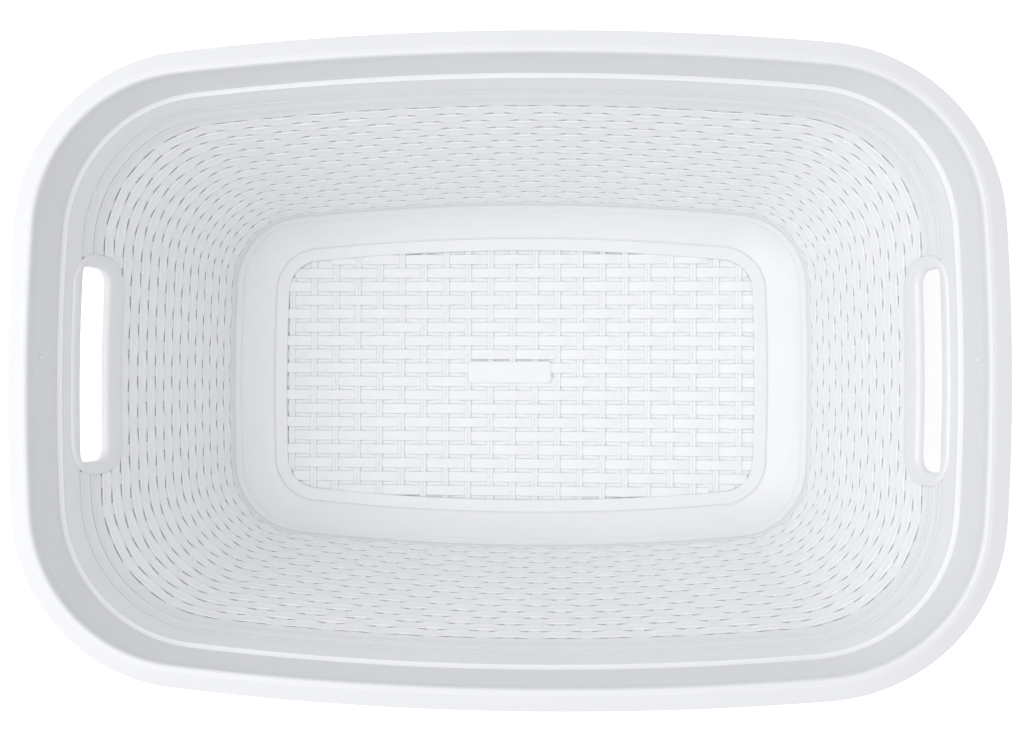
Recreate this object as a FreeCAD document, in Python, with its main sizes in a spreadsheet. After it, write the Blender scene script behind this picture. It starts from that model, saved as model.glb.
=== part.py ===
import FreeCAD, Part
import math
import os
import re
import Sketcher

# Open laundry basket in white polypropylene, moulded in one piece to look like woven rattan.
# The origin is at the middle of the ground footprint, +X runs along the long side and +Z is up.
# The one moulding is divided along its own lines into closed solids that meet face to face.

doc = FreeCAD.newDocument("laundry_basket")
dims = doc.addObject("Spreadsheet::Sheet", "dims")

DIMENSIONS = [
    # alias, millimetres
    ("half_length", 300.0),
    ("half_width", 203.0),
    ("height", 270.0),
    ("rim_corner", 112.0),
    ("rim_bow_long", 1950.0),
    ("rim_bow_short", 1450.0),
    ("stock", 2.0),
    ("lip_width", 15.0),
    ("lip_flat", 4.0),
    ("lip_fall", 4.5),
    ("lip_depth", 8.0),
    ("lip_hollow", 5.7),
    ("crown_round", 3.0),
    ("lip_edge_round", 2.5),
    ("skirt_drop", 18.0),
    ("ledge_level", 239.0),
    ("band_lean", 2.7),
    ("ledge_width", 3.2),
    ("collar_foot", 222.0),
    ("course_foot", 211.5),
    ("weave_top", 201.0),
    ("foot_level", 25.0),
    ("foot_half_length", 238.0),
    ("foot_half_width", 141.0),
    ("foot_corner", 58.0),
    ("cove_level", 14.0),
    ("cove_half_length", 226.0),
    ("cove_half_width", 131.0),
    ("cove_corner", 48.0),
    ("border_level", 10.0),
    ("border_half_length", 209.2),
    ("border_half_width", 116.7),
    ("border_corner", 37.5),
    ("border_width", 11.4),
    ("base_bow", 1800.0),
    ("floor_level", 7.0),
    ("ground_level", 0.0),
    ("ground_foot", 3.2),
    ("end_span", 78.0),
    ("side_span", 165.0),
    ("grip_length", 128.5),
    ("grip_height", 27.0),
    ("grip_level", 208.0),
    ("grip_round", 7.0),
    ("grip_shift_left", 3.4),
    ("grip_shift_right", 0.8),
    ("surround_length", 147.0),
    ("surround_top", 230.0),
    ("surround_foot", 178.5),
    ("surround_round", 21.0),
    ("surround_inside", 1.6),
    ("surround_outside", 2.0),
    ("weft_pitch", 11.55),
    ("weft_width", 8.8),
    ("weft_rise", 1.2),
    ("weft_rows", 18),
    ("weft_shift", 0.0),
    ("warp_pitch", 18.95),
    ("warp_width", 5.6),
    ("warp_rise", 0.8),
    ("warp_rows", 21),
    ("warp_shift", -4.4),
    ("plate_length", 71.0),
    ("plate_width", 19.0),
    ("plate_rise", 0.7),
    ("plate_shift", -6.8),
    ("plate_lift", 2.3),
    ("nub_radius", 1.6),
    ("nub_rise", 0.6),
    ("nub_level", 255.0),
    ("nub_offset", 6.5),
]
for row, (alias, value) in enumerate(DIMENSIONS, start=1):
    dims.set("A%d" % row, alias)
    dims.set("B%d" % row, "%g" % value)
    dims.setAlias("B%d" % row, alias)
doc.recompute()


def value_of(expression):
    """The number, in mm, that an expression in the sheet's aliases comes to."""
    return float(dims.evalExpression(expression))


def bound(expression):
    """The same expression as a document expression that reads the sheet."""
    return re.sub("[a-z][a-z_]*", lambda word: "dims." + word.group(), expression)


def plane_of(body, role):
    """One of a body's own origin planes."""
    for feature in body.Origin.OriginFeatures:
        if feature.Role == role:
            return feature
    raise ValueError(role)


def new_body(name):
    body = doc.addObject("PartDesign::Body", name)
    body.Label = name
    return body


def new_sketch(body, name, role, level=None):
    """A sketch on an origin plane, lifted off it to a level of the sheet."""
    sketch = body.newObject("Sketcher::SketchObject", name)
    sketch.AttachmentSupport = (plane_of(body, role), [""])
    sketch.MapMode = "FlatFace"
    if level is not None:
        sketch.setExpression("AttachmentOffset.Base.z", bound(level))
    return sketch


def bind(sketch, constraint, name, expression):
    """Add a named driving constraint to a sketch and tie it to the sheet."""
    index = sketch.addConstraint(constraint)
    sketch.renameConstraint(index, name)
    sketch.setExpression("Constraints." + name, bound(expression))


def corner_centre(half_length, half_width, bow_long, bow_short, corner):
    """Centre of the corner arc that is tangent to the long-side and short-side bows."""
    long_centre = (0.0, half_width - bow_long)
    short_centre = (half_length - bow_short, 0.0)
    long_reach = bow_long - corner
    short_reach = bow_short - corner
    gap = math.hypot(short_centre[0] - long_centre[0], short_centre[1] - long_centre[1])
    along = (long_reach ** 2 - short_reach ** 2 + gap ** 2) / (2 * gap)
    aside = math.sqrt(long_reach ** 2 - along ** 2)
    unit = ((short_centre[0] - long_centre[0]) / gap, (short_centre[1] - long_centre[1]) / gap)
    options = []
    for side in (1, -1):
        x = long_centre[0] + along * unit[0] - side * aside * unit[1]
        y = long_centre[1] + along * unit[1] + side * aside * unit[0]
        options.append((x, y))
    return max(options, key=sum)


def draw_outline(sketch, prefix, size):
    """A rounded rectangle with bowed sides: eight tangent arcs held by five sheet sizes."""
    half_length, half_width, bow_long, bow_short, corner = (value_of(e) for e in size)
    x, y = corner_centre(half_length, half_width, bow_long, bow_short, corner)
    short_angle = math.atan2(y, x - (half_length - bow_short))
    long_angle = math.atan2(y - (half_width - bow_long), x)
    half_turn = math.pi
    full_turn = 2 * math.pi
    spans = [
        (half_length - bow_short, 0.0, bow_short, -short_angle, short_angle),
        (x, y, corner, short_angle, long_angle),
        (0.0, half_width - bow_long, bow_long, long_angle, half_turn - long_angle),
        (-x, y, corner, half_turn - long_angle, half_turn - short_angle),
        (bow_short - half_length, 0.0, bow_short, half_turn - short_angle, half_turn + short_angle),
        (-x, -y, corner, half_turn + short_angle, half_turn + long_angle),
        (0.0, bow_long - half_width, bow_long, half_turn + long_angle, full_turn - long_angle),
        (x, -y, corner, full_turn - long_angle, full_turn - short_angle),
    ]
    first = sketch.GeometryCount
    for cx, cy, radius, start, end in spans:
        circle = Part.Circle(FreeCAD.Vector(cx, cy, 0), FreeCAD.Vector(0, 0, 1), radius)
        sketch.addGeometry(Part.ArcOfCircle(circle, start, end), False)
    for i in range(8):
        sketch.addConstraint(Sketcher.Constraint("Tangent", first + i, 2, first + (i + 1) % 8, 1))
    east, north, west, south = first, first + 2, first + 4, first + 6
    for side in (east, west):
        sketch.addConstraint(Sketcher.Constraint("PointOnObject", side, 3, -1))
    for side in (north, south):
        sketch.addConstraint(Sketcher.Constraint("PointOnObject", side, 3, -2))
    sketch.addConstraint(Sketcher.Constraint("Equal", east, west))
    sketch.addConstraint(Sketcher.Constraint("Equal", north, south))
    for i in (3, 5, 7):
        sketch.addConstraint(Sketcher.Constraint("Equal", first + 1, first + i))
    bind(sketch, Sketcher.Constraint("Radius", east, bow_short), prefix + "bow_short", size[3])
    bind(sketch, Sketcher.Constraint("Radius", north, bow_long), prefix + "bow_long", size[2])
    bind(sketch, Sketcher.Constraint("Radius", first + 1, corner), prefix + "corner", size[4])
    reach_x = size[3] + "-" + minus(size[0])
    reach_y = size[2] + "-" + minus(size[1])
    bind(sketch, Sketcher.Constraint("DistanceX", east, 3, -1, 1, bow_short - half_length),
         prefix + "east", reach_x)
    bind(sketch, Sketcher.Constraint("DistanceX", -1, 1, west, 3, bow_short - half_length),
         prefix + "west", reach_x)
    bind(sketch, Sketcher.Constraint("DistanceY", north, 3, -1, 1, bow_long - half_width),
         prefix + "north", reach_y)
    bind(sketch, Sketcher.Constraint("DistanceY", -1, 1, south, 3, bow_long - half_width),
         prefix + "south", reach_y)


def minus(expression):
    """The terms of an expression with every sign after the first turned over."""
    return expression.replace("-", "~").replace("+", "-").replace("~", "+")


def grown(size, amount):
    """The five sizes of an outline with signed terms, such as "-stock", added to each."""
    return [expression + amount for expression in size]


RIM = ["half_length", "half_width", "rim_bow_long", "rim_bow_short", "rim_corner"]
LIP_INSIDE = grown(RIM, "-lip_width")
COLLAR_TOP = grown(LIP_INSIDE, "-band_lean-ledge_width")
FOOT = ["foot_half_length", "foot_half_width", "base_bow", "base_bow", "foot_corner"]
COVE = ["cove_half_length", "cove_half_width", "base_bow", "base_bow", "cove_corner"]
BORDER = ["border_half_length", "border_half_width", "base_bow", "base_bow", "border_corner"]
PANEL = grown(BORDER, "-border_width")


def stacked_loft(body, kind, name, sections):
    """A straight-ruled loft through outlines at several levels of the sheet."""
    sketches = []
    for index, (size, level) in enumerate(sections):
        sketch = new_sketch(body, "%s_%s_%d" % (body.Name, name, index), "XY_Plane", level)
        draw_outline(sketch, "", size)
        sketches.append(sketch)
    loft = body.newObject("PartDesign::" + kind, body.Name + "_" + name)
    loft.Profile = sketches[0]
    loft.Sections = sketches[1:]
    loft.Ruled = True
    return loft


def shell_body(name, outside, inside):
    """A wall: a solid loft outside, opened by a second loft inside."""
    body = new_body(name)
    stacked_loft(body, "AdditiveLoft", "outside", outside)
    doc.recompute()
    stacked_loft(body, "SubtractiveLoft", "inside", inside)
    doc.recompute()
    return body


def ring_body(name, corners):
    """A ring of even width that follows the rim: a closed section carried round the lip's line."""
    body = new_body(name)
    path = new_sketch(body, name + "_path", "XY_Plane")
    draw_outline(path, "", LIP_INSIDE)
    section = new_sketch(body, name + "_section", "XZ_Plane")
    draw_polygon(section, corners)
    doc.recompute()
    pipe = body.newObject("PartDesign::AdditivePipe", name + "_ring")
    pipe.Profile = section
    pipe.Spine = path
    doc.recompute()
    return body


def draw_polygon(sketch, corners):
    """A closed polygon, each corner held by its two distances from the origin."""
    points = [FreeCAD.Vector(value_of(x), value_of(y), 0) for x, y in corners]
    count = len(points)
    for i in range(count):
        sketch.addGeometry(Part.LineSegment(points[i], points[(i + 1) % count]), False)
    for i in range(count):
        sketch.addConstraint(Sketcher.Constraint("Coincident", i, 2, (i + 1) % count, 1))
    for i, (x, y) in enumerate(corners):
        bind(sketch, Sketcher.Constraint("DistanceX", -1, 1, i, 1, points[i].x), "x%d" % i, x)
        bind(sketch, Sketcher.Constraint("DistanceY", -1, 1, i, 1, points[i].y), "y%d" % i, y)


def across(*terms):
    """A place in the rim's section, measured outwards from the lip's inner line."""
    return "half_length-lip_width" + "".join(terms)


# The rim: a channel-shaped lip with a skirt hanging outside, and a plain band and ledge inside.
lip_foot = "height-lip_depth"
rim_lip = ring_body("rim_lip", [
    (across(), lip_foot),
    (across(), "height"),
    (across("+lip_flat"), "height"),
    (across("+lip_width"), "height-lip_fall"),
    (across("+lip_width"), lip_foot),
    (across("+lip_width-stock"), lip_foot),
    (across("+lip_width-stock"), "height-lip_hollow"),
    (across("+lip_flat"), "height-stock"),
    (across("+stock"), "height-stock"),
    (across("+stock"), lip_foot),
])


def edges_at(shape, level, reach):
    """Names of the edges that lie flat at one level and reach just so far along +X."""
    names = []
    for index, edge in enumerate(shape.Edges, start=1):
        box = edge.BoundBox
        if abs(box.ZMin - level) > 0.01 or abs(box.ZMax - level) > 0.01:
            continue
        if abs(box.XMax - reach) < 0.01:
            names.append("Edge%d" % index)
    return names


def round_edges(body, name, level, reach, radius):
    """Round a ring's edge all the way round, found where it crosses the positive X axis."""
    names = edges_at(body.Shape, value_of(level), value_of(reach))
    base = body.Tip
    fillet = body.newObject("PartDesign::Fillet", name)
    fillet.Base = (base, names)
    fillet.setExpression("Radius", bound(radius))
    doc.recompute()


round_edges(rim_lip, "rim_lip_crown", "height", across(), "crown_round")
round_edges(rim_lip, "rim_lip_edge", "height-lip_fall", "half_length", "lip_edge_round")

rim_skirt = ring_body("rim_skirt", [
    (across("+lip_width-stock"), lip_foot),
    (across("+lip_width"), lip_foot),
    (across("+lip_width"), lip_foot + "-skirt_drop"),
    (across("+lip_width-stock"), lip_foot + "-skirt_drop"),
])
rim_band = ring_body("rim_band", [
    (across(), lip_foot),
    (across("+stock"), lip_foot),
    (across("+stock-band_lean"), "ledge_level"),
    (across("-band_lean"), "ledge_level"),
])
rim_ledge = ring_body("rim_ledge", [
    (across("+stock-band_lean"), "ledge_level"),
    (across("-band_lean-ledge_width"), "ledge_level"),
    (across("-band_lean-ledge_width"), "ledge_level-stock"),
    (across("+stock-band_lean"), "ledge_level-stock"),
])

# The drafted wall from the ledge down to the heel, and a thicker copy for the hand-hole surrounds.
wall_shell = shell_body(
    "wall_shell",
    [(grown(COLLAR_TOP, "+stock"), "ledge_level-stock"), (grown(FOOT, "+stock"), "foot_level")],
    [(COLLAR_TOP, "ledge_level-stock"), (FOOT, "foot_level")],
)
surround_shell = shell_body(
    "surround_shell",
    [(grown(COLLAR_TOP, "+stock+surround_outside"), "ledge_level-stock"),
     (grown(FOOT, "+stock+surround_outside"), "foot_level")],
    [(grown(COLLAR_TOP, "-surround_inside"), "ledge_level-stock"),
     (grown(FOOT, "-surround_inside"), "foot_level")],
)


def rounded_bar(name, side, length, foot, top, radius):
    """A bar along X through one end wall, rounded in its YZ section and shifted along the wall."""
    body = new_body(name + "_" + side)
    sketch = new_sketch(body, name + "_section_" + side, "YZ_Plane")
    half = value_of(length) / 2
    shift = value_of("grip_shift_" + side)
    low = value_of(foot)
    high = value_of(top)
    curve = value_of(radius)
    east = shift + half - curve
    west = shift - half + curve
    centres = [(east, high - curve), (west, high - curve), (west, low + curve), (east, low + curve)]
    for index, (cy, cz) in enumerate(centres):
        circle = Part.Circle(FreeCAD.Vector(cy, cz, 0), FreeCAD.Vector(0, 0, 1), curve)
        start = index * math.pi / 2
        sketch.addGeometry(Part.ArcOfCircle(circle, start, start + math.pi / 2), False)
    for index in range(4):
        here = sketch.Geometry[index].EndPoint
        there = sketch.Geometry[(index + 1) % 4].StartPoint
        sketch.addGeometry(Part.LineSegment(here, there), False)
        sketch.addConstraint(Sketcher.Constraint("Tangent", index, 2, 4 + index, 1))
        sketch.addConstraint(Sketcher.Constraint("Tangent", 4 + index, 2, (index + 1) % 4, 1))
    for index in (1, 2, 3):
        sketch.addConstraint(Sketcher.Constraint("Equal", 0, index))
    sketch.addConstraint(Sketcher.Constraint("Horizontal", 4))
    sketch.addConstraint(Sketcher.Constraint("Vertical", 5))
    bind(sketch, Sketcher.Constraint("Radius", 0, curve), "curve", radius)
    bind(sketch, Sketcher.Constraint("DistanceY", -1, 1, 4, 1, high), "top", top)
    bind(sketch, Sketcher.Constraint("DistanceY", -1, 1, 6, 1, low), "foot", foot)
    bind(sketch, Sketcher.Constraint("DistanceX", -1, 1, 7, 1, half + shift), "east",
         "0.5*" + length + "+grip_shift_" + side)
    bind(sketch, Sketcher.Constraint("DistanceX", 5, 1, -1, 1, half - shift), "west",
         "0.5*" + length + "-grip_shift_" + side)
    pad = body.newObject("PartDesign::Pad", name + "_pad_" + side)
    pad.Profile = sketch
    pad.Reversed = side == "left"
    pad.setExpression("Length", bound("half_length"))
    doc.recompute()
    return body


grip_bars = {}
surround_bars = {}
for side in ("left", "right"):
    grip_bars[side] = rounded_bar("grip_bar", side, "grip_length", "grip_level-0.5*grip_height",
                                  "grip_level+0.5*grip_height", "grip_round")
    surround_bars[side] = rounded_bar("surround_bar", side, "surround_length", "surround_foot",
                                      "surround_top", "surround_round")


def block(name, corner, size):
    """A box from its lowest corner and its three sizes, all of them expressions."""
    box = doc.addObject("Part::Box", name)
    for axis, expression in zip("xyz", corner):
        box.setExpression("Placement.Base." + axis, bound(expression))
    for side, expression in zip(("Length", "Width", "Height"), size):
        box.setExpression(side, bound(expression))
    return box


def combine(kind, name, base, tool):
    """A Common or a Cut of two shapes, labelled with its own name."""
    part = doc.addObject("Part::" + kind, name)
    part.Base = base
    part.Tool = tool
    part.Label = name
    return part


half_open_shell = combine("Cut", "half_open_shell", wall_shell, surround_bars["left"])
open_shell = combine("Cut", "open_shell", half_open_shell, surround_bars["right"])
doc.recompute()
slab_corner = ["-half_length", "-half_width"]
slab_size = ["2*half_length", "2*half_width"]

# Plain collar under the ledge, then two closed courses of strand, then the woven field.
bands = [
    ("collar", "collar_foot", "ledge_level-stock"),
    ("closed_course_upper", "course_foot", "collar_foot"),
    ("closed_course_lower", "weave_top", "course_foot"),
]
kept = [rim_lip, rim_skirt, rim_band, rim_ledge]
for name, low, high in bands:
    slab = block(name + "_slab", slab_corner + [low], slab_size + [high + "-" + minus(low)])
    kept.append(combine("Common", name, open_shell, slab))

# The woven field in eight panels: two long walls, two end walls and four corners.
weave_height = "weave_top-foot_level"
columns = [("left", "-half_length", "half_length-side_span"),
           ("middle", "-side_span", "2*side_span"),
           ("right", "side_span", "half_length-side_span")]
rows = [("front", "-half_width", "half_width-end_span"),
        ("middle", "-end_span", "2*end_span"),
        ("back", "end_span", "half_width-end_span")]
for row_name, row_low, row_size in rows:
    for column_name, column_low, column_size in columns:
        if row_name == "middle" and column_name == "middle":
            continue
        if row_name == "middle":
            name = "wall_" + column_name
        elif column_name == "middle":
            name = "wall_" + row_name
        else:
            name = "corner_" + row_name + "_" + column_name
        panel_box = block(name + "_box", [column_low, row_low, "foot_level"],
                          [column_size, row_size, weave_height])
        kept.append(combine("Common", name, open_shell, panel_box))

# Raised surrounds of the two hand holes, one in each end wall.
for side in ("left", "right"):
    surround_band = combine("Common", "surround_band_" + side, surround_shell, surround_bars[side])
    kept.append(combine("Cut", "handle_surround_" + side, surround_band, grip_bars[side]))
doc.recompute()

# Coved heel between the wall and the floor.
kept.append(shell_body(
    "heel",
    [(grown(FOOT, "+stock"), "foot_level"), (grown(COVE, "+stock"), "cove_level-stock"),
     (BORDER, "border_level-stock"), (BORDER, "border_level-stock-0.5*stock")],
    [(FOOT, "foot_level"), (COVE, "cove_level"), (BORDER, "border_level"),
     (BORDER, "border_level-stock-0.5*stock")],
))


def flat_ring(name, outside, inside, low, height):
    """A flat ring or, with no inside outline, a flat plate."""
    body = new_body(name)
    sketch = new_sketch(body, name + "_outline", "XY_Plane", low)
    draw_outline(sketch, "", outside)
    if inside is not None:
        draw_outline(sketch, "inner_", inside)
    pad = body.newObject("PartDesign::Pad", name + "_pad")
    pad.Profile = sketch
    pad.setExpression("Length", bound(height))
    doc.recompute()
    return body


floor_low = "floor_level-stock"
kept.append(flat_ring("floor_border", BORDER, PANEL, floor_low, "border_level-floor_level+stock"))
kept.append(flat_ring("floor_sheet", PANEL, None, floor_low, "stock"))
kept.append(flat_ring("foot_ring", BORDER, grown(BORDER, "-ground_foot"),
                      "ground_level", floor_low + "-ground_level"))


def strip_shape(along_x, middle, width, low, height):
    """One strand across the whole floor panel before it is trimmed to the panel's outline."""
    reach_x = value_of("half_length")
    reach_y = value_of("half_width")
    if along_x:
        corner = FreeCAD.Vector(-reach_x, middle - width / 2, low)
        return Part.makeBox(2 * reach_x, width, height, corner)
    corner = FreeCAD.Vector(middle - width / 2, -reach_y, low)
    return Part.makeBox(width, 2 * reach_y, height, corner)


def strand_group(name, along_x, pitch, width, count, shift, low, height):
    """A group of parallel strands moulded on the floor, trimmed to the floor panel."""
    panel_face = doc.getObject("floor_sheet").Shape
    tool = panel_face.copy()
    tool.translate(FreeCAD.Vector(0, 0, value_of(low) - value_of(floor_low)))
    strands = []
    for index in range(int(value_of(count))):
        middle = (index - (value_of(count) - 1) / 2) * value_of(pitch) + value_of(shift)
        strip = strip_shape(along_x, middle, value_of(width), value_of(low), value_of(height))
        strands += strip.common(tool).Solids
    group = doc.addObject("Part::Feature", name)
    group.Label = name
    group.Shape = Part.makeCompound(strands)
    group.Placement = FreeCAD.Placement()
    return group


kept.append(strand_group("floor_wefts", True, "weft_pitch", "weft_width", "weft_rows",
                         "weft_shift", "floor_level", "weft_rise"))
kept.append(strand_group("floor_warps", False, "warp_pitch", "warp_width", "warp_rows",
                         "warp_shift", "floor_level+weft_rise", "warp_rise"))

# Small plain plate raised over the weave near the middle of the floor.
plate = block("blank_plate",
              ["plate_shift-0.5*plate_length", "plate_lift-0.5*plate_width",
               "floor_level+weft_rise+warp_rise"],
              ["plate_length", "plate_width", "plate_rise"])
plate.Label = "blank_plate"
kept.append(plate)


def band_nub(name, side):
    """A small round moulding mark standing on the band's sloping inner face."""
    lean = math.atan2(value_of("band_lean"), value_of("height-lip_depth-ledge_level"))
    drop = value_of("height-lip_depth-nub_level")
    reach = value_of("half_length-lip_width") - drop * math.tan(lean)
    nub = doc.addObject("Part::Cylinder", name)
    nub.setExpression("Radius", bound("nub_radius"))
    nub.setExpression("Height", bound("nub_rise"))
    place = FreeCAD.Vector(side * reach, value_of("nub_offset"), value_of("nub_level"))
    towards = FreeCAD.Vector(-side * math.cos(lean), 0, math.sin(lean))
    turn = FreeCAD.Rotation(FreeCAD.Vector(0, 0, 1), towards)
    nub.Placement = FreeCAD.Placement(place, turn)
    return nub


nubs = doc.addObject("Part::Compound", "band_nubs")
nubs.Links = [band_nub("nub_left", -1), band_nub("nub_right", 1)]
nubs.Label = "band_nubs"
kept.append(nubs)

doc.recompute()
for item in doc.Objects:
    if "Invalid" in item.State or "Error" in item.State:
        raise RuntimeError(item.Name + " failed: " + ", ".join(item.State))
for item in kept:
    if item.Shape.isNull() or not item.Shape.isValid():
        raise RuntimeError(item.Label + " has no valid shape")

os.makedirs("parts", exist_ok=True)
for item in kept:
    item.Shape.exportStep("parts/" + item.Label + ".step")
    box = item.Shape.BoundBox
    print("%-24s %9.1f mm3  solids %3d  x %.1f..%.1f y %.1f..%.1f z %.1f..%.1f" % (
        item.Label, item.Shape.Volume, len(item.Shape.Solids),
        box.XMin, box.XMax, box.YMin, box.YMax, box.ZMin, box.ZMax))
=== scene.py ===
import math

import bmesh
import bpy
import numpy as np
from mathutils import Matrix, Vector


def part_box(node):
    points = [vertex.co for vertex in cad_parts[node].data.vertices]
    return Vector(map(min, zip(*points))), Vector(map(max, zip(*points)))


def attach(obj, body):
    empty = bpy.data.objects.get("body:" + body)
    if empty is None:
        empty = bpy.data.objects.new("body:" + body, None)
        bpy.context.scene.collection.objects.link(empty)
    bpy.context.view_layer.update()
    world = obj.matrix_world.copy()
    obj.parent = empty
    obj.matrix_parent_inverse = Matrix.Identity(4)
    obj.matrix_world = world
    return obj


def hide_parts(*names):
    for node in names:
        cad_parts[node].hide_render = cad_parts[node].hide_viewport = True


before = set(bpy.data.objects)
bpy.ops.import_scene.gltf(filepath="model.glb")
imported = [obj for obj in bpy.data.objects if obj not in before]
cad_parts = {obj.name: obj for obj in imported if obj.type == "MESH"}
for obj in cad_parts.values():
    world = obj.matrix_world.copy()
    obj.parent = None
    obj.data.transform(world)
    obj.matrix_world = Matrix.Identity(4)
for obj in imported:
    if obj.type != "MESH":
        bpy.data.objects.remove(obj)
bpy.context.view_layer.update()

# ---------------------------------------------------------------------------------------------
# The lip. The rim is a channel of 2 mm polypropylene: a narrow flat crown, a top that slopes
# outwards, a rounded outer edge and a skirt that hangs outside to stiffen the basket's mouth.
# It is moulded in one shot with the whole basket, in white plastic from a finely etched mould.


def colour(hex_value):
    """A linear colour with full alpha from an sRGB hex value such as "f2f3f5"."""
    channels = [int(hex_value[i:i + 2], 16) / 255 for i in (0, 2, 4)]
    linear = [c / 12.92 if c <= 0.04045 else ((c + 0.055) / 1.055) ** 2.4 for c in channels]
    return (*linear, 1.0)


def add_node(tree, kind, settings=(), values=(), links=()):
    """One node with its settings, its input values and the sockets that feed its inputs."""
    node = tree.nodes.new(kind)
    for setting, value in dict(settings).items():
        setattr(node, setting, value)
    for socket, value in dict(values).items():
        node.inputs[socket].default_value = value
    for socket, source in dict(links).items():
        tree.links.new(source, node.inputs[socket])
    return node


def satin_polypropylene(name, tint, shade, hollow, roughness, etch):
    """Injection-moulded polypropylene: a faint mottle, an etched grain and painted shade in
    crevices.

    The plastic is slightly milky, so light goes a millimetre in before it comes back out. The
    real etched grain is a fraction of a millimetre, and is drawn as coarse as it needs to show.
    """
    etch_pitch = 0.0009
    flow_pitch = 0.07
    # How far and how strongly the painted crevice shade reaches.
    crevice_reach = 0.0022
    crevice_shut = 0.2
    crevice_open = 0.62
    glossiest = roughness - 0.05
    dullest = roughness + 0.07
    material = bpy.data.materials.new(name)
    material.use_nodes = True
    tree = material.node_tree
    shader = tree.nodes["Principled BSDF"]
    place = add_node(tree, "ShaderNodeTexCoord")
    flow = add_node(tree, "ShaderNodeTexNoise",
                    values={"Scale": 1 / flow_pitch, "Detail": 3.0, "Roughness": 0.5},
                    links={"Vector": place.outputs["Object"]})
    mottle = add_node(tree, "ShaderNodeMix", {"data_type": "RGBA"},
                      {"A": colour(tint), "B": colour(shade)},
                      {"Factor": flow.outputs["Fac"]})
    # Painted shade: an occlusion node mixes the hollow colour into crevices and tight gaps.
    openness = add_node(tree, "ShaderNodeAmbientOcclusion", {"samples": 6},
                        {"Distance": crevice_reach})
    clear = add_node(tree, "ShaderNodeMapRange",
                     values={"From Min": crevice_shut, "From Max": crevice_open},
                     links={"Value": openness.outputs["AO"]})
    depth = add_node(tree, "ShaderNodeMix", {"data_type": "RGBA"},
                     {"A": colour(hollow)},
                     {"Factor": clear.outputs["Result"], "B": mottle.outputs["Result"]})
    gloss = add_node(tree, "ShaderNodeMapRange",
                     values={"To Min": glossiest, "To Max": dullest},
                     links={"Value": flow.outputs["Fac"]})
    grain = add_node(tree, "ShaderNodeTexNoise",
                     values={"Scale": 1 / etch_pitch, "Detail": 2.0, "Roughness": 0.6},
                     links={"Vector": place.outputs["Object"]})
    bump = add_node(tree, "ShaderNodeBump", values={"Strength": 1.0, "Distance": etch},
                    links={"Height": grain.outputs["Fac"]})
    tree.links.new(depth.outputs["Result"], shader.inputs["Base Color"])
    tree.links.new(gloss.outputs["Result"], shader.inputs["Roughness"])
    tree.links.new(bump.outputs["Normal"], shader.inputs["Normal"])
    shader.inputs["IOR"].default_value = 1.49
    shader.inputs["Subsurface Weight"].default_value = 0.12
    shader.inputs["Subsurface Radius"].default_value = (1.0, 0.95, 0.9)
    shader.inputs["Subsurface Scale"].default_value = 0.0015
    return material


# The rim is doubled plastic, in a cool white a shade greyer than the walls: that greyer tint is
# painted shade, and so is the grey in its crevices. It has a soft, broad sheen.
shaded_rim_skin = satin_polypropylene("satin_rim_polypropylene_painted_shade", "e5e6e9", "e2e3e6", "d4d5d8",
                                   0.36, 0.000006)

# Stakes along each arc of the wall, from the +X end: end, corner, side, corner, and again.
# Every ring round the basket has its points at the stakes and at even steps between them.
stake_counts = (9.0, 6.5, 23.5, 7.0, 9.0, 6.0, 22.5, 6.5)
stakes = int(sum(stake_counts))
steps_per_stake = 6
steps = stakes * steps_per_stake
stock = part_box("floor_sheet")[1].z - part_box("floor_sheet")[0].z


def grown(size, amount):
    """The five sizes of an outline, all of them larger by one amount."""
    return tuple(value + amount for value in size)


def arcs_of(size):
    """The eight tangent arcs of a bowed rounded rectangle, anticlockwise from the +X end."""
    half_length, half_width, bow_long, bow_short, corner = size
    end_x = half_length - bow_short
    side_y = half_width - bow_long
    long_reach = bow_long - corner
    short_reach = bow_short - corner
    gap = math.hypot(end_x, side_y)
    along = (long_reach ** 2 - short_reach ** 2 + gap ** 2) / (2 * gap)
    aside = math.sqrt(long_reach ** 2 - along ** 2)
    unit = Vector((end_x, -side_y)) / gap
    centres = [Vector((0, side_y)) + along * unit + turn * aside * Vector((-unit.y, unit.x))
               for turn in (1, -1)]
    x, y = max(centres, key=sum)
    low = math.atan2(y, x - end_x)
    high = math.atan2(y - side_y, x)
    half = math.pi
    full = 2 * math.pi
    return [
        (end_x, 0, bow_short, -low, low),
        (x, y, corner, low, high),
        (0, side_y, bow_long, high, half - high),
        (-x, y, corner, half - high, half - low),
        (-end_x, 0, bow_short, half - low, half + low),
        (-x, -y, corner, half + low, half + high),
        (0, -side_y, bow_long, half + high, full - high),
        (x, -y, corner, full - high, full - low),
    ]


def ring(size, level):
    """One point for each step round an outline, starting at the middle of the +X end."""
    arcs = arcs_of(size)
    joints = np.cumsum((0,) + stake_counts)
    points = []
    for step in range(steps):
        turn = (step / steps_per_stake + stake_counts[0] / 2) % stakes
        index = min(int(np.searchsorted(joints, turn, side="right")) - 1, len(arcs) - 1)
        share = (turn - joints[index]) / stake_counts[index]
        x, y, radius, start, end = arcs[index]
        angle = start + (end - start) * share
        points.append(Vector((x + radius * math.cos(angle), y + radius * math.sin(angle), level)))
    return points


def rounded(corners, arc_steps=4):
    """A closed section from (across, up, radius) corners, with a point just past each arc."""
    past = 0.15
    points = []
    for index, (x, y, radius) in enumerate(corners):
        here = Vector((x, y))
        if radius == 0:
            points.append(here)
            continue
        before = (Vector(corners[index - 1][:2]) - here).normalized()
        after = (Vector(corners[(index + 1) % len(corners)][:2]) - here).normalized()
        half = before.angle(after) / 2
        reach = radius / math.tan(half)
        centre = here + (before + after).normalized() * radius / math.sin(half)
        first = here + before * reach - centre
        last = here + after * reach - centre
        points.append(centre + first + before * radius * past)
        for step in range(arc_steps + 1):
            share = step / arc_steps
            turned = (first * (1 - share) + last * share).normalized() * radius
            points.append(centre + turned)
        points.append(centre + last + after * radius * past)
    return points


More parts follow.
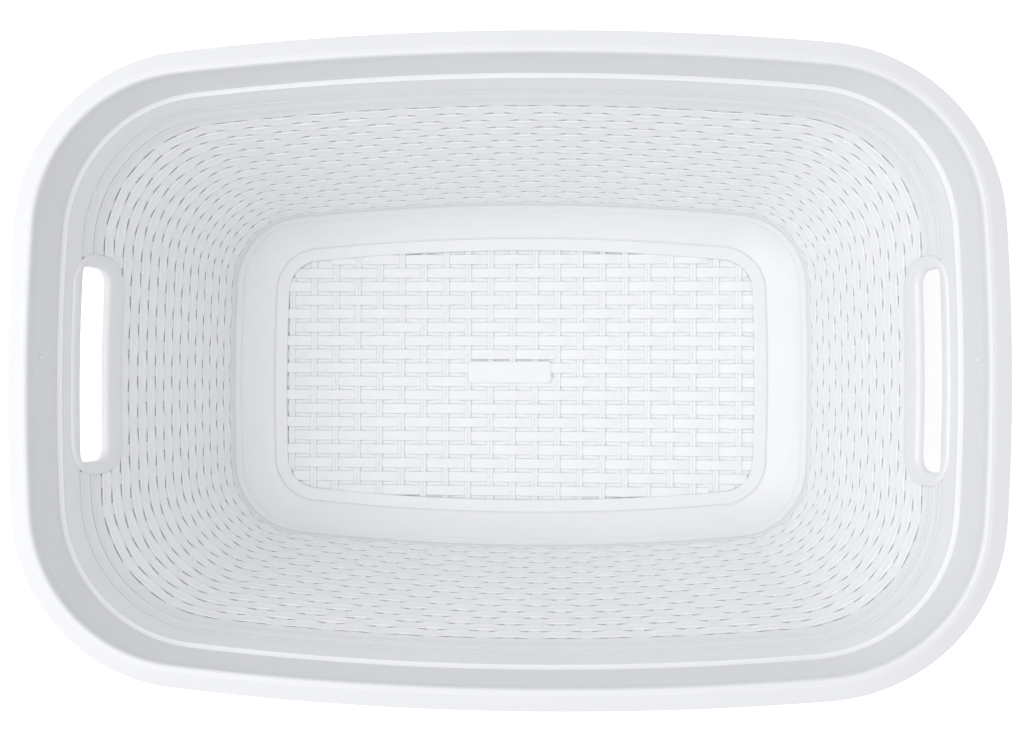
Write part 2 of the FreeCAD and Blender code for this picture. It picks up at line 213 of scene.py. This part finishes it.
def carried_strand_tree():
    """Carries a section along lines, which may swing to and fro along their own normals."""
    tree = bpy.data.node_groups.new("carried_strand", "GeometryNodeTree")
    sockets = (("Geometry", "NodeSocketGeometry"), ("Section", "NodeSocketObject"),
               ("Swing", "NodeSocketFloat"), ("Material", "NodeSocketMaterial"))
    for name, kind in sockets:
        tree.interface.new_socket(name=name, in_out="INPUT", socket_type=kind)
    tree.interface.new_socket(name="Geometry", in_out="OUTPUT", socket_type="NodeSocketGeometry")
    given = add_node(tree, "NodeGroupInput")
    lines = add_node(tree, "GeometryNodeMeshToCurve", links={"Mesh": given.outputs["Geometry"]})
    phase = add_node(tree, "GeometryNodeInputNamedAttribute", {"data_type": "FLOAT"},
                     {"Name": "phase"})
    facing = add_node(tree, "GeometryNodeInputNamedAttribute", {"data_type": "FLOAT_VECTOR"},
                      {"Name": "facing"})
    angle = add_node(tree, "ShaderNodeMath", {"operation": "MULTIPLY"}, {1: math.pi},
                     {0: phase.outputs["Attribute"]})
    wave = add_node(tree, "ShaderNodeMath", {"operation": "COSINE"}, (), {0: angle.outputs[0]})
    wide = add_node(tree, "ShaderNodeMath", {"operation": "MULTIPLY"}, {1: math.pi / 2},
                    {0: wave.outputs[0]})
    flat = add_node(tree, "ShaderNodeMath", {"operation": "SINE"}, (), {0: wide.outputs[0]})
    swing = add_node(tree, "ShaderNodeMath", {"operation": "MULTIPLY"}, (),
                     {0: flat.outputs[0], 1: given.outputs["Swing"]})
    offset = add_node(tree, "ShaderNodeVectorMath", {"operation": "SCALE"}, (),
                      {0: facing.outputs["Attribute"], "Scale": swing.outputs[0]})
    woven = add_node(tree, "GeometryNodeSetPosition", (), (),
                     {"Geometry": lines.outputs[0], "Offset": offset.outputs[0]})
    turned = add_node(tree, "GeometryNodeSetCurveNormal", {"mode": "FREE"}, (),
                      {"Curve": woven.outputs[0], "Normal": facing.outputs["Attribute"]})
    section = add_node(tree, "GeometryNodeObjectInfo", (), (),
                       {"Object": given.outputs["Section"]})
    profile = add_node(tree, "GeometryNodeMeshToCurve", links={"Mesh": section.outputs["Geometry"]})
    solid = add_node(tree, "GeometryNodeCurveToMesh", (), {"Fill Caps": True},
                     {"Curve": turned.outputs[0], "Profile Curve": profile.outputs[0]})
    real = add_node(tree, "GeometryNodeRealizeInstances", (), (), {"Geometry": solid.outputs[0]})
    finish = add_node(tree, "GeometryNodeSetMaterial", (), (),
                      {"Geometry": real.outputs[0], "Material": given.outputs["Material"]})
    add_node(tree, "NodeGroupOutput", (), (), {"Geometry": finish.outputs[0]})
    return tree


carried_strand = carried_strand_tree()


def new_object(name, vertices, edges=(), faces=()):
    """A linked mesh object at the origin."""
    mesh = bpy.data.meshes.new(name)
    mesh.from_pydata([tuple(v) for v in vertices], list(edges), list(faces))
    piece = bpy.data.objects.new(name, mesh)
    bpy.context.scene.collection.objects.link(piece)
    return piece


def tidy_mesh(piece):
    """Face everything outwards and shade it smooth, except across real edges."""
    crease = math.radians(40)
    work = bmesh.new()
    work.from_mesh(piece.data)
    bmesh.ops.recalc_face_normals(work, faces=work.faces)
    work.to_mesh(piece.data)
    work.free()
    piece.data.shade_smooth()
    piece.data.set_sharp_from_angle(angle=crease)


def carry(name, lines, section, swing, material):
    """A piece made by carrying a section along lines of (points, facings, phases, closed).

    A section is (across, towards the facing), and the tree wants the two the other way round.
    """
    points, edges, facings, phases = [], [], [], []
    for line_points, line_facings, line_phases, closed in lines:
        first = len(points)
        count = len(line_points)
        points += line_points
        facings += line_facings
        phases += line_phases
        edges += [(first + i, first + i + 1) for i in range(count - 1)]
        if closed:
            edges.append((first + count - 1, first))
    piece = new_object(name, points, edges)
    held = piece.data.attributes.new("facing", "FLOAT_VECTOR", "POINT")
    held.data.foreach_set("vector", np.array([tuple(f) for f in facings], np.float32).ravel())
    timed = piece.data.attributes.new("phase", "FLOAT", "POINT")
    timed.data.foreach_set("value", np.array(phases, np.float32))
    corners = [(p.y, p.x, 0) for p in section]
    loop = [(i, (i + 1) % len(corners)) for i in range(len(corners))]
    outline = new_object(name + "_section", corners, loop)
    modifier = piece.modifiers.new("carried", "NODES")
    modifier.node_group = carried_strand
    given = {"Section": outline, "Swing": swing, "Material": material}
    for socket in carried_strand.interface.items_tree:
        if socket.in_out == "INPUT" and socket.name in given:
            modifier[socket.identifier] = given[socket.name]
    bpy.context.view_layer.update()
    evaluated = piece.evaluated_get(bpy.context.evaluated_depsgraph_get())
    solid = bpy.data.meshes.new_from_object(evaluated)
    piece.modifiers.clear()
    piece.data = solid
    bpy.data.objects.remove(outline)
    tidy_mesh(piece)
    return piece


def belongs(piece, *nodes):
    """The piece moves with the basket and stands for these nodes."""
    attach(piece, "root")
    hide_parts(*nodes)


# An outline's five sizes: half length, half width, the bow of its long sides, the bow of its
# ends and its corner radius.
rim_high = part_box("rim_lip")[1].z
rim_size = (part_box("rim_skirt")[1].x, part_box("rim_skirt")[1].y, 1.95, 1.45, 0.112)
lip_width = 0.015
lip_inside = grown(rim_size, -lip_width)
lip_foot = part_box("rim_lip")[0].z
skirt_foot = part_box("rim_skirt")[0].z
up = Vector((0, 0, 1))


def carry_round(name, size, section, material):
    """A closed ring made from a section of (outwards, level, radius) corners."""
    path = ring(size, 0.0)
    return carry(name, [(path, [up] * steps, [0.0] * steps, True)], rounded(section), 0.0, material)


lip_flat = 0.004
lip_fall = 0.0045
mouth_round = 0.0022
crown_round = 0.0045
edge_round = 0.0025
hem_round = 0.0008
under_round = 0.001
edge_thick = 0.0012
rolled_lip = carry_round("rolled_lip", lip_inside, [
    (0.0, lip_foot, 0.0),
    (0.0, rim_high, mouth_round),
    (lip_flat, rim_high, crown_round),
    (lip_width, rim_high - lip_fall, edge_round),
    (lip_width, skirt_foot, hem_round),
    (lip_width - stock, skirt_foot, hem_round),
    (lip_width - stock, rim_high - lip_fall - edge_thick, under_round),
    (lip_flat, rim_high - stock, under_round),
    (stock, rim_high - stock, under_round),
    (stock, lip_foot, 0.0),
], shaded_rim_skin)
belongs(rolled_lip, "rim_lip", "rim_skirt")

# ---------------------------------------------------------------------------------------------
# The band and its ledge. Inside the lip a steep plain band drops to a narrow ledge, where the
# wall steps in: it stiffens the mouth, and lets one basket stack inside another.
# Both are the same 2 mm plastic, moulded with the rest.

# Single plastic is a plain, milky white with a soft sheen, and painted shade greys its creases.
plain_skin = satin_polypropylene("satin_moulded_polypropylene", "edeef0", "eaebed", "c8c9cd",
                                 0.36, 0.000006)

ledge_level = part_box("rim_ledge")[1].z
ledge_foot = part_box("rim_ledge")[0].z
lean = 0.0027
ledge_width = 0.0032
ledge_flat = 0.0004
ledge_fall = 0.0005
ledge_round = 0.0007
inner_band = carry_round("inner_band", lip_inside, [
    (stock, lip_foot, 0.0),
    (0.0, lip_foot, 0.0),
    (-lean, ledge_level, 0.0),
    (stock - lean, ledge_level, 0.0),
], shaded_rim_skin)
belongs(inner_band, "rim_band")
step_ledge = carry_round("step_ledge", lip_inside, [
    (stock - lean, ledge_level, 0.0),
    (-lean, ledge_level, 0.0),
    (-lean - ledge_flat, ledge_level, 0.0),
    (-lean - ledge_width, ledge_level - ledge_fall, ledge_round),
    (-lean - ledge_width, ledge_foot, 0.0),
    (stock - lean, ledge_foot, 0.0),
], plain_skin)
belongs(step_ledge, "rim_ledge")

# ---------------------------------------------------------------------------------------------
# The collar. Under the ledge the drafted wall starts as a plain stretch of the same moulded
# plastic, before the weave. A fine groove runs round its foot.
# The whole wall is ruled between two outlines: its mouth at the ledge and its foot on the heel.

wall_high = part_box("collar")[1].z
wall_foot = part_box("heel")[1].z
mouth_size = grown(lip_inside, -lean - ledge_width)
foot_size = (0.238, 0.141, 1.8, 1.8, 0.058)
mouth_ring = ring(mouth_size, wall_high)
foot_ring = ring(foot_size, wall_foot)
wall_facings = []
for step in range(steps):
    after = mouth_ring[(step + 1) % steps] + foot_ring[(step + 1) % steps]
    rise = mouth_ring[step] - foot_ring[step]
    wall_facings.append(rise.cross(after - mouth_ring[step - 1] - foot_ring[step - 1]).normalized())


def wall_point(step, level, inset):
    """A place on the wall: a step round it, a level, and how far it stands in from the face."""
    step = step % steps
    share = (level - wall_foot) / (wall_high - wall_foot)
    return foot_ring[step].lerp(mouth_ring[step], share) + wall_facings[step] * inset


def wall_ring(level, inset):
    return [wall_point(step, level, inset) for step in range(steps)]


def loft(name, rings, material):
    """A closed hollow ring whose section runs through the given rings, back to the first."""
    count = len(rings[0])
    vertices = [point for points in rings for point in points]
    faces = []
    for row in range(len(rings)):
        here = row * count
        there = (row + 1) % len(rings) * count
        for i in range(count):
            j = (i + 1) % count
            faces.append((here + i, here + j, there + j, there + i))
    piece = new_object(name, vertices, (), faces)
    piece.data.materials.append(material)
    tidy_mesh(piece)
    return piece


collar_foot = 0.222
groove = 0.0004
plain_collar = loft("plain_collar", [
    wall_ring(wall_high, 0.0),
    wall_ring(wall_high - 0.004, 0.0),
    wall_ring(collar_foot + 0.0012, 0.0),
    wall_ring(collar_foot + 0.0005, -0.0001),
    wall_ring(collar_foot, -groove),
    wall_ring(collar_foot, -stock),
    wall_ring(collar_foot + 0.0015, -stock),
    wall_ring(wall_high - 0.0015, -stock),
    wall_ring(wall_high, -stock),
], plain_skin)
belongs(plain_collar, "collar")

# ---------------------------------------------------------------------------------------------
# The woven wall. The moulding copies rattan in white plastic: flat strands run round the basket
# before one upright stake and behind the next, with a slit between each pair of crossings.
# Two courses under the collar are closed up, with no slits and no stakes showing.

# The weave is etched deeper than the rest, so it scatters light. Its whiter tint on the faces of
# the strands is painted light, and the grey in the slits between them is painted shade.
reeded_skin = satin_polypropylene("reeded_moulded_polypropylene", "f7f8fa", "f4f5f7", "8b8c90",
                                  0.42, 0.000012)

woven_nodes = ("wall_front", "wall_back", "wall_left", "wall_right", "corner_front_left",
               "corner_front_right", "corner_back_left", "corner_back_right")
strand_pitch = 0.0105
weave_high = 0.201
woven_rows = 16
strand_gap = 0.0012
strand_thick = 0.0026
flange_clearance = 0.00003   # all but closes the slit behind the strands
strand_flange = strand_gap / 2 - flange_clearance
strand_swing = 0.0005
stake_swing = 0.0001
hole_reach = 0.0675
hole_foot = 0.1905
hole_shift = [(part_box(node)[0].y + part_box(node)[1].y) / 2
              for node in ("handle_surround_right", "handle_surround_left")]


def strand_section(width, thick, flange):
    """A flat strand with a low bead along each edge, and a flange at the back of each edge."""
    half = width / 2
    deep = thick / 2
    bead = 0.0007
    bevel = 0.0002
    side = half - 0.0001
    edge = half + flange
    front = [(side, deep - 0.00045), (half - 0.0004, deep - 0.0001), (half - bead, deep),
             (half - 2 * bead, deep - 0.00022), (0.0, deep - 0.00012)]
    back = [(half - 2 * bead, -deep), (edge - bevel, -deep), (edge, bevel - deep),
            (edge, -deep / 4), (side, -deep / 4)]
    return [Vector(p) for p in front + [(-x, y) for x, y in reversed(front[:-1])]
            + [(-x, y) for x, y in reversed(back)] + back]


def strand_lines(rows, inset):
    """Centre lines of strands: whole rings, or two halves where the hand holes cut them."""
    lines = []
    for row in rows:
        level = weave_high + strand_pitch / 2 - row * strand_pitch
        points = wall_ring(level, inset)
        phases = [step / steps_per_stake + row + 1 for step in range(steps)]
        if level < hole_foot:
            lines.append((points, wall_facings, phases, True))
            continue
        outside = [abs(p.y - hole_shift[p.x < 0]) > hole_reach for p in points]
        for half in (1, -1):
            chosen = [s for s in range(steps) if outside[s] and points[s].y * half > 0]
            lines.append(([points[s] for s in chosen], [wall_facings[s] for s in chosen],
                          [phases[s] for s in chosen], False))
    return lines


course_line = 0.0001
closed_courses = carry("closed_courses", strand_lines((-1, 0), -stock / 2),
                       strand_section(strand_pitch - course_line, stock, 0.0), 0.0, plain_skin)
belongs(closed_courses, "closed_course_upper", "closed_course_lower")

open_section = strand_section(strand_pitch - strand_gap, strand_thick, strand_flange)
first_lower = woven_rows // 2 + 1
for name, rows in (("wall_strands_upper", range(1, first_lower)),
                   ("wall_strands_lower", range(first_lower, woven_rows + 1))):
    strands = carry(name, strand_lines(rows, -stock / 2), open_section, strand_swing, reeded_skin)
    belongs(strands, *woven_nodes)

# The stakes stand behind and before the strands in turn, and die into the plain courses at
# their two ends. Those under a hand hole start at the foot of its surround.

stake_width = 0.0080
stake_thick = 0.0013
stake_bevel = 0.0003
stake_foot = 0.029
stake_tuck = 0.002
stake_steps = 82
stake_lines = []
for stake in range(stakes):
    step = stake * steps_per_stake
    top = weave_high + stake_tuck
    crest = wall_point(step, top, 0.0)
    if abs(crest.y - hole_shift[crest.x < 0]) < hole_reach:
        top = hole_foot
    levels = [top + (stake_foot - top) * i / stake_steps for i in range(stake_steps + 1)]
    stake_lines.append((
        [wall_point(step, level, -stock / 2) for level in levels],
        [wall_facings[step]] * len(levels),
        [stake + (weave_high + strand_pitch / 2 - level) / strand_pitch for level in levels],
        False))
half_wide = stake_width / 2
half_thick = stake_thick / 2
stake_side = [Vector((half_wide, half_thick - stake_bevel)),
              Vector((half_wide - stake_bevel, half_thick))]
stake_top = stake_side + [Vector((-p.x, p.y)) for p in reversed(stake_side)]
stake_section = stake_top + [Vector((p.x, -p.y)) for p in reversed(stake_top)]
upright_stakes = carry("upright_stakes", stake_lines, stake_section, stake_swing, reeded_skin)
belongs(upright_stakes, *woven_nodes)

# ---------------------------------------------------------------------------------------------
# The foot course. Below the last row of slits a narrow plain course of the same plastic closes
# the weave. A fine line is moulded along it just above the heel.

slit_foot = weave_high - strand_pitch * woven_rows
course_proud = 0.0004
line_level = slit_foot - 0.0034
foot_course = loft("foot_course", [
    wall_ring(slit_foot, 0.0),
    wall_ring(slit_foot - course_proud, course_proud),
    wall_ring(line_level + 0.0004, course_proud),
    wall_ring(line_level, -0.0001),
    wall_ring(line_level - 0.0004, 0.0003),
    wall_ring(wall_foot + 0.0008, 0.0003),
    wall_ring(wall_foot, 0.0),
    wall_ring(wall_foot, -stock),
    wall_ring(slit_foot, -stock),
], plain_skin)
belongs(foot_course)

# ---------------------------------------------------------------------------------------------
# The hand-hole surrounds. Each end wall has one long hole for four fingers, in a raised smooth
# frame thicker than the wall, moulded with it, with its edges rounded to be kind to the hand.
# The hole's lower corners are rounder than its upper ones.

surround_low, surround_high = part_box("handle_surround_right")


def end_wall_point(y, level, inset):
    """A place on the +X end wall at a given distance along it."""
    stakes_each_way = 10
    reach = range(-stakes_each_way * steps_per_stake, stakes_each_way * steps_per_stake + 1)
    here = [wall_point(step, level, 0.0).y for step in reach]
    step = float(np.interp(y, here, list(reach)))
    low = math.floor(step)
    return wall_point(low, level, inset).lerp(wall_point(low + 1, level, inset), step - low)


def opening_loop(half, low, high, foot_round, top_round):
    """A rounded opening in (along, level), with its straight runs divided to follow the wall."""
    long_run, short_run = 16, 4
    corners = rounded([(half, high, top_round), (-half, high, top_round),
                       (-half, low, foot_round), (half, low, foot_round)], 6)
    per_corner = len(corners) // 4
    points = []
    for index, point in enumerate(corners):
        points.append(point)
        if index % per_corner == per_corner - 1:
            after = corners[(index + 1) % len(corners)]
            divisions = long_run if index // per_corner % 2 == 0 else short_run
            points += [point.lerp(after, i / divisions) for i in range(1, divisions)]
    return points


grip_half = 0.06425
grip_low = 0.1945
grip_high = 0.2215
grip_foot_round = 0.010
grip_top_round = 0.0045
frame_half = 0.0735
frame_low = surround_low.z
frame_high = surround_high.z
frame_round = 0.021
inside_proud = 0.0016
outside_proud = 0.0020


def surround_rings():
    """Rings of the frame's section, from its outer edge inside, over the face, to the back."""
    back_face = -stock - outside_proud
    edge = [(0.0, -stock / 2), (0.0, 0.0), (0.0002, 0.0008), (0.0007, 0.0013),
            (0.0014, inside_proud), (0.0030, inside_proud)]
    hole = [(0.0026, inside_proud), (0.0016, 0.0014), (0.0007, 0.0009), (0.0002, 0.0002),
            (0.0, -0.0008), (0.0, back_face + 0.0008), (0.0006, back_face), (0.002, back_face)]
    back = [(0.0014, back_face), (0.0004, back_face + 0.0003), (0.0, -stock)]

    def frame_ring(shrink, inset):
        corner = frame_round - shrink
        return (frame_half - shrink, frame_low + shrink, frame_high - shrink,
                corner, corner, inset)

    def hole_ring(grow, inset):
        return (grip_half + grow, grip_low - grow, grip_high + grow,
                grip_foot_round + grow, grip_top_round + grow, inset)

    return ([frame_ring(*pair) for pair in edge] + [hole_ring(*pair) for pair in hole]
            + [frame_ring(*pair) for pair in back])


for name, side, node in (("hand_hole_surround_right", 1, "handle_surround_right"),
                         ("hand_hole_surround_left", -1, "handle_surround_left")):
    shift = hole_shift[side < 0]
    rings = []
    for half, low, high, foot_round, top_round, inset in surround_rings():
        opening = opening_loop(half, low, high, foot_round, top_round)
        loop = [end_wall_point(p.x + shift, p.y, inset) for p in opening]
        rings.append([Vector((side * p.x, p.y, p.z)) for p in loop])
    surround = loft(name, rings, plain_skin)
    belongs(surround, node)

# ---------------------------------------------------------------------------------------------
# The heel. A smooth cove of the same moulded plastic carries the wall round into the floor. It
# catches the light as a broad band round the bottom, with one fine bead along it.

border_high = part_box("floor_border")[1]
border_size = (border_high.x, border_high.y, 1.8, 1.8, 0.0375)
cove_size = (0.226, 0.131, 1.8, 1.8, 0.048)
cove_level = 0.014

heel_rings = []
stations = [(foot_size, wall_foot), (cove_size, cove_level), (border_size, border_high.z)]
bead_share = 0.15
bead_rise = 0.0008
bead_half = 0.012
bead_guard = 0.03
shares = [0.0, 0.07, bead_share - bead_guard, bead_share - bead_half, bead_share,
          bead_share + bead_half, bead_share + bead_guard, 0.28, 0.4, 0.52, 0.64, 0.76, 0.88, 1.0]
for depth in (0.0, stock):
    rings = []
    for share in shares:
        weights = ((1 - share) ** 2, 2 * share * (1 - share), share ** 2)
        size = tuple(sum(w * s[0][i] for w, s in zip(weights, stations)) for i in range(5))
        level = sum(w * s[1] for w, s in zip(weights, stations))
        bead = bead_rise if depth == 0.0 and share == bead_share else 0.0
        outline = grown(size, depth * (1 - share) - bead)
        rings.append(ring(outline, level - depth * share + bead / 2))
    heel_rings += rings if depth == 0.0 else rings[::-1]
heel_cove = loft("heel_cove", heel_rings, plain_skin)
belongs(heel_cove, "heel")

# ---------------------------------------------------------------------------------------------
# The floor border: a low frame of plastic raised round the woven panel of the floor, moulded
# with it, with a fine groove outside it and a rounded inner edge.

border_width = 0.0114
groove_width = 0.0008
border_step = 0.0004
floor_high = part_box("floor_sheet")[1].z
floor_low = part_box("floor_sheet")[0].z
border_lift = border_high.z
floor_border = carry_round("floor_border_frame", border_size, [
    (0.0, floor_low, 0.0),
    (0.0, border_lift - border_step, 0.0),
    (-groove_width, border_lift - border_step, 0.0),
    (-2 * groove_width, border_lift + border_step, 0.0004),
    (-border_width, border_lift + 0.0002, 0.0012),
    (-border_width, floor_low, 0.0),
], plain_skin)
belongs(floor_border, "floor_border")

# ---------------------------------------------------------------------------------------------
# The woven floor. The floor is a closed plastic sheet with a weave moulded on top: broad wefts
# along the basket, and narrow double-ribbed warps across it, over one and under the next.

# The floor's relief is shallow and softly polished. Its even, pale white is painted light, a
# lighter copy of the plain white, with only a faint painted shade in its crevices.
floor_skin = satin_polypropylene("satin_floor_polypropylene", "f1f2f4", "eeeff1", "dcdde0",
                                 0.42, 0.000010)

panel_lap = 0.0004
panel_size = grown(border_size, -border_width)
panel_ring = ring(panel_size, 0.0)
edge = ring(grown(panel_size, panel_lap), 0.0)
top_face = [steps + i for i in range(steps)]
sides = [(i, (i + 1) % steps, steps + (i + 1) % steps, steps + i) for i in range(steps)]
panel_points = [Vector((p.x, p.y, level)) for level in (floor_low, floor_high) for p in edge]
floor_panel = new_object("floor_panel", panel_points, (),
                         [list(range(steps))[::-1], top_face] + sides)
floor_panel.data.materials.append(floor_skin)
tidy_mesh(floor_panel)
belongs(floor_panel, "floor_sheet")

weft_pitch = 0.01155
weft_width = 0.0088
wefts = 18
warp_pitch = 0.01895
warp_width = 0.0056
warps = 21
warp_shift = -0.0044
weft_lift = 0.0007
weft_swing = 0.0006
weft_groove = 0.00012
warp_swing = 0.00035
warp_groove = 0.0006
relief_thick = 0.0018


def reach_at(place, along):
    """How far the floor panel reaches on each side at a place across it."""
    other = 1 - along
    crossings = []
    for step in range(steps):
        here, after = panel_ring[step - 1], panel_ring[step]
        if (here[other] - place) * (after[other] - place) <= 0 and here[other] != after[other]:
            share = (place - here[other]) / (after[other] - here[other])
            crossings.append(here[along] + (after[along] - here[along]) * share)
    return (min(crossings), max(crossings)) if crossings else None


def floor_lines(count, pitch, shift, along, cross_pitch, cross_shift, cross_count):
    """Centre lines of one set of strands, each tucked a little way under the floor's border."""
    tuck = 0.0008
    steps_per_crossing = 8
    lines = []
    for index in range(count):
        place = (index - (count - 1) / 2) * pitch + shift
        span = reach_at(place, along)
        if span is None:
            continue
        divisions = int((span[1] - span[0]) / cross_pitch * steps_per_crossing)
        points, phases = [], []
        for i in range(divisions + 1):
            reach = span[0] - tuck + (span[1] - span[0] + 2 * tuck) * i / divisions
            crossing = (reach - cross_shift) / cross_pitch + (cross_count - 1) / 2
            point = [0.0, 0.0, floor_high + weft_lift]
            point[along] = reach
            point[1 - along] = place
            points.append(Vector(point))
            phases.append(crossing + index)
        lines.append((points, [up] * len(points), phases, False))
    return lines


def ribbed_section(width, thick, ribs, groove):
    """A strand whose upper face is divided into rounded ribs by grooves of a given depth."""
    edge_height = thick * 0.05
    points = [Vector((-width / 2, -thick / 2)), Vector((width / 2, -thick / 2)),
              Vector((width / 2, edge_height))]
    for rib in range(ribs):
        right = width / 2 - width * rib / ribs
        for share, fall in ((0.0, groove), (0.2, groove / 6), (0.5, 0.0), (0.8, groove / 6)):
            if rib > 0 or share > 0.0:
                points.append(Vector((right - share * width / ribs, thick / 2 - fall)))
    points.append(Vector((-width / 2, edge_height)))
    return points


weft_strands = carry("floor_weft_strands",
                     floor_lines(wefts, weft_pitch, 0.0, 0, warp_pitch, warp_shift, warps),
                     ribbed_section(weft_width, relief_thick, 3, weft_groove),
                     -weft_swing, floor_skin)
belongs(weft_strands, "floor_wefts")
warp_ribs = carry("floor_warp_ribs",
                  floor_lines(warps, warp_pitch, warp_shift, 1, weft_pitch, 0.0, wefts),
                  ribbed_section(warp_width, relief_thick, 2, warp_groove),
                  warp_swing, floor_skin)
belongs(warp_ribs, "floor_warps")

# ---------------------------------------------------------------------------------------------
# The blank plate: a small smooth pad of the same plastic, moulded proud of the floor's weave
# near its middle, with its edges eased.

plate_low, plate_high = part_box("blank_plate")
plate_middle = (plate_low + plate_high) / 2
plate_half = (plate_high - plate_low) / 2
plate_round = 0.003
plate_sunk = 0.001
plate_edge = [(0.0, plate_low.z - plate_sunk), (0.0, plate_high.z - 0.0009),
              (0.0004, plate_high.z - 0.0004), (0.0010, plate_high.z - 0.0001),
              (0.0018, plate_high.z)]
plate_loops = []
for shrink, level in plate_edge:
    x = plate_half.x - shrink
    y = plate_half.y - shrink
    loop = rounded([(x, y, plate_round), (-x, y, plate_round),
                    (-x, -y, plate_round), (x, -y, plate_round)])
    plate_loops.append([Vector((plate_middle.x + p.x, plate_middle.y + p.y, level))
                        for p in loop])
count = len(plate_loops[0])
plate_faces = [list(range(count))[::-1],
               [(len(plate_loops) - 1) * count + i for i in range(count)]]
for row in range(len(plate_loops) - 1):
    here = row * count
    there = here + count
    for i in range(count):
        j = (i + 1) % count
        plate_faces.append((here + i, here + j, there + j, there + i))
plain_plate = new_object("plain_plate", [p for loop in plate_loops for p in loop], (), plate_faces)
plain_plate.data.materials.append(floor_skin)
tidy_mesh(plain_plate)
belongs(plain_plate, "blank_plate")

# ---------------------------------------------------------------------------------------------
# The nubs: two small domes of plastic left on the band by the mould's ejectors, one at each end.

nub_low, nub_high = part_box("band_nubs")
nub_radius = 0.0016
nub_flatness = 0.45
nub_sunk = 0.0004
nub_middle = (nub_low + nub_high) / 2
nubs = bmesh.new()
for side in (-1, 1):
    base = Vector((side * (nub_high.x - nub_sunk), nub_middle.y, nub_middle.z))
    dome = bmesh.ops.create_uvsphere(nubs, u_segments=24, v_segments=16, radius=nub_radius)
    for vertex in dome["verts"]:
        vertex.co.x *= nub_flatness
    bmesh.ops.translate(nubs, verts=dome["verts"], vec=base)
nub_mesh = bpy.data.meshes.new("ejector_nubs")
nubs.to_mesh(nub_mesh)
nubs.free()
ejector_nubs = bpy.data.objects.new("ejector_nubs", nub_mesh)
bpy.context.scene.collection.objects.link(ejector_nubs)
nub_mesh.materials.append(plain_skin)
tidy_mesh(ejector_nubs)
belongs(ejector_nubs, "band_nubs")

# ---------------------------------------------------------------------------------------------
# The foot: a thin ring of the same plastic that stands under the floor and keeps the panel off
# the ground.

foot_width = 0.0032
foot_round = 0.0008
ground_ring = carry_round("ground_ring", border_size, [
    (0.0, floor_low, 0.0),
    (0.0, 0.0, foot_round),
    (-foot_width, 0.0, foot_round),
    (-foot_width, floor_low, 0.0),
], plain_skin)
belongs(ground_ring, "foot_ring")

# ---------------------------------------------------------------------------------------------
# The studio: pale paper, which glows a little so that it stays white all round the basket, a
# bright even surround, and two broad soft lamps, one high on the left and one above.

paper = bpy.data.materials.new("pale_studio_paper")
paper.use_nodes = True
paper_shader = paper.node_tree.nodes["Principled BSDF"].inputs
paper_shader["Base Color"].default_value = colour("fdfdfd")
paper_shader["Roughness"].default_value = 0.9
paper_shader["Emission Color"].default_value = colour("ffffff")
paper_shader["Emission Strength"].default_value = 0.17
reach = 12.0
floor = new_object("studio_floor", [(-reach, -reach, 0), (reach, -reach, 0),
                                    (reach, reach, 0), (-reach, reach, 0)], (), [(0, 1, 2, 3)])
floor.data.materials.append(paper)

world = bpy.data.worlds.new("studio_surround")
bpy.context.scene.world = world
world.use_nodes = True
surround_shader = world.node_tree.nodes["Background"].inputs
surround_shader["Color"].default_value = colour("fbfbfc")
surround_shader["Strength"].default_value = 0.76


def soft_lamp(name, place, size, power):
    """A square lamp, with its place, width and watts, that faces the middle of the basket."""
    middle = Vector((0, 0, 0.15))
    lamp = bpy.data.lights.new(name, "AREA")
    lamp.shape = "SQUARE"
    lamp.size = size
    lamp.energy = power
    holder = bpy.data.objects.new(name, lamp)
    holder.location = place
    holder.rotation_mode = "QUATERNION"
    holder.rotation_quaternion = (Vector(place) - middle).to_track_quat("Z", "Y")
    bpy.context.scene.collection.objects.link(holder)


soft_lamp("lamp_left", (-1.9, 0.1, 1.7), 1.4, 8.5)
soft_lamp("lamp_above", (-0.5, -0.15, 2.3), 1.8, 19.0)

camera = bpy.data.cameras.new("camera")
camera.sensor_width = 36.0
camera.lens = 35.8
viewer = bpy.data.objects.new("camera", camera)
viewer.location = (0.0442, -0.0117, 0.87)
viewer.rotation_euler = [math.radians(a) for a in (0.87, 3.26, 0.23)]
bpy.context.scene.collection.objects.link(viewer)
bpy.context.scene.camera = viewer
bpy.context.scene.view_settings.view_transform = "Standard"
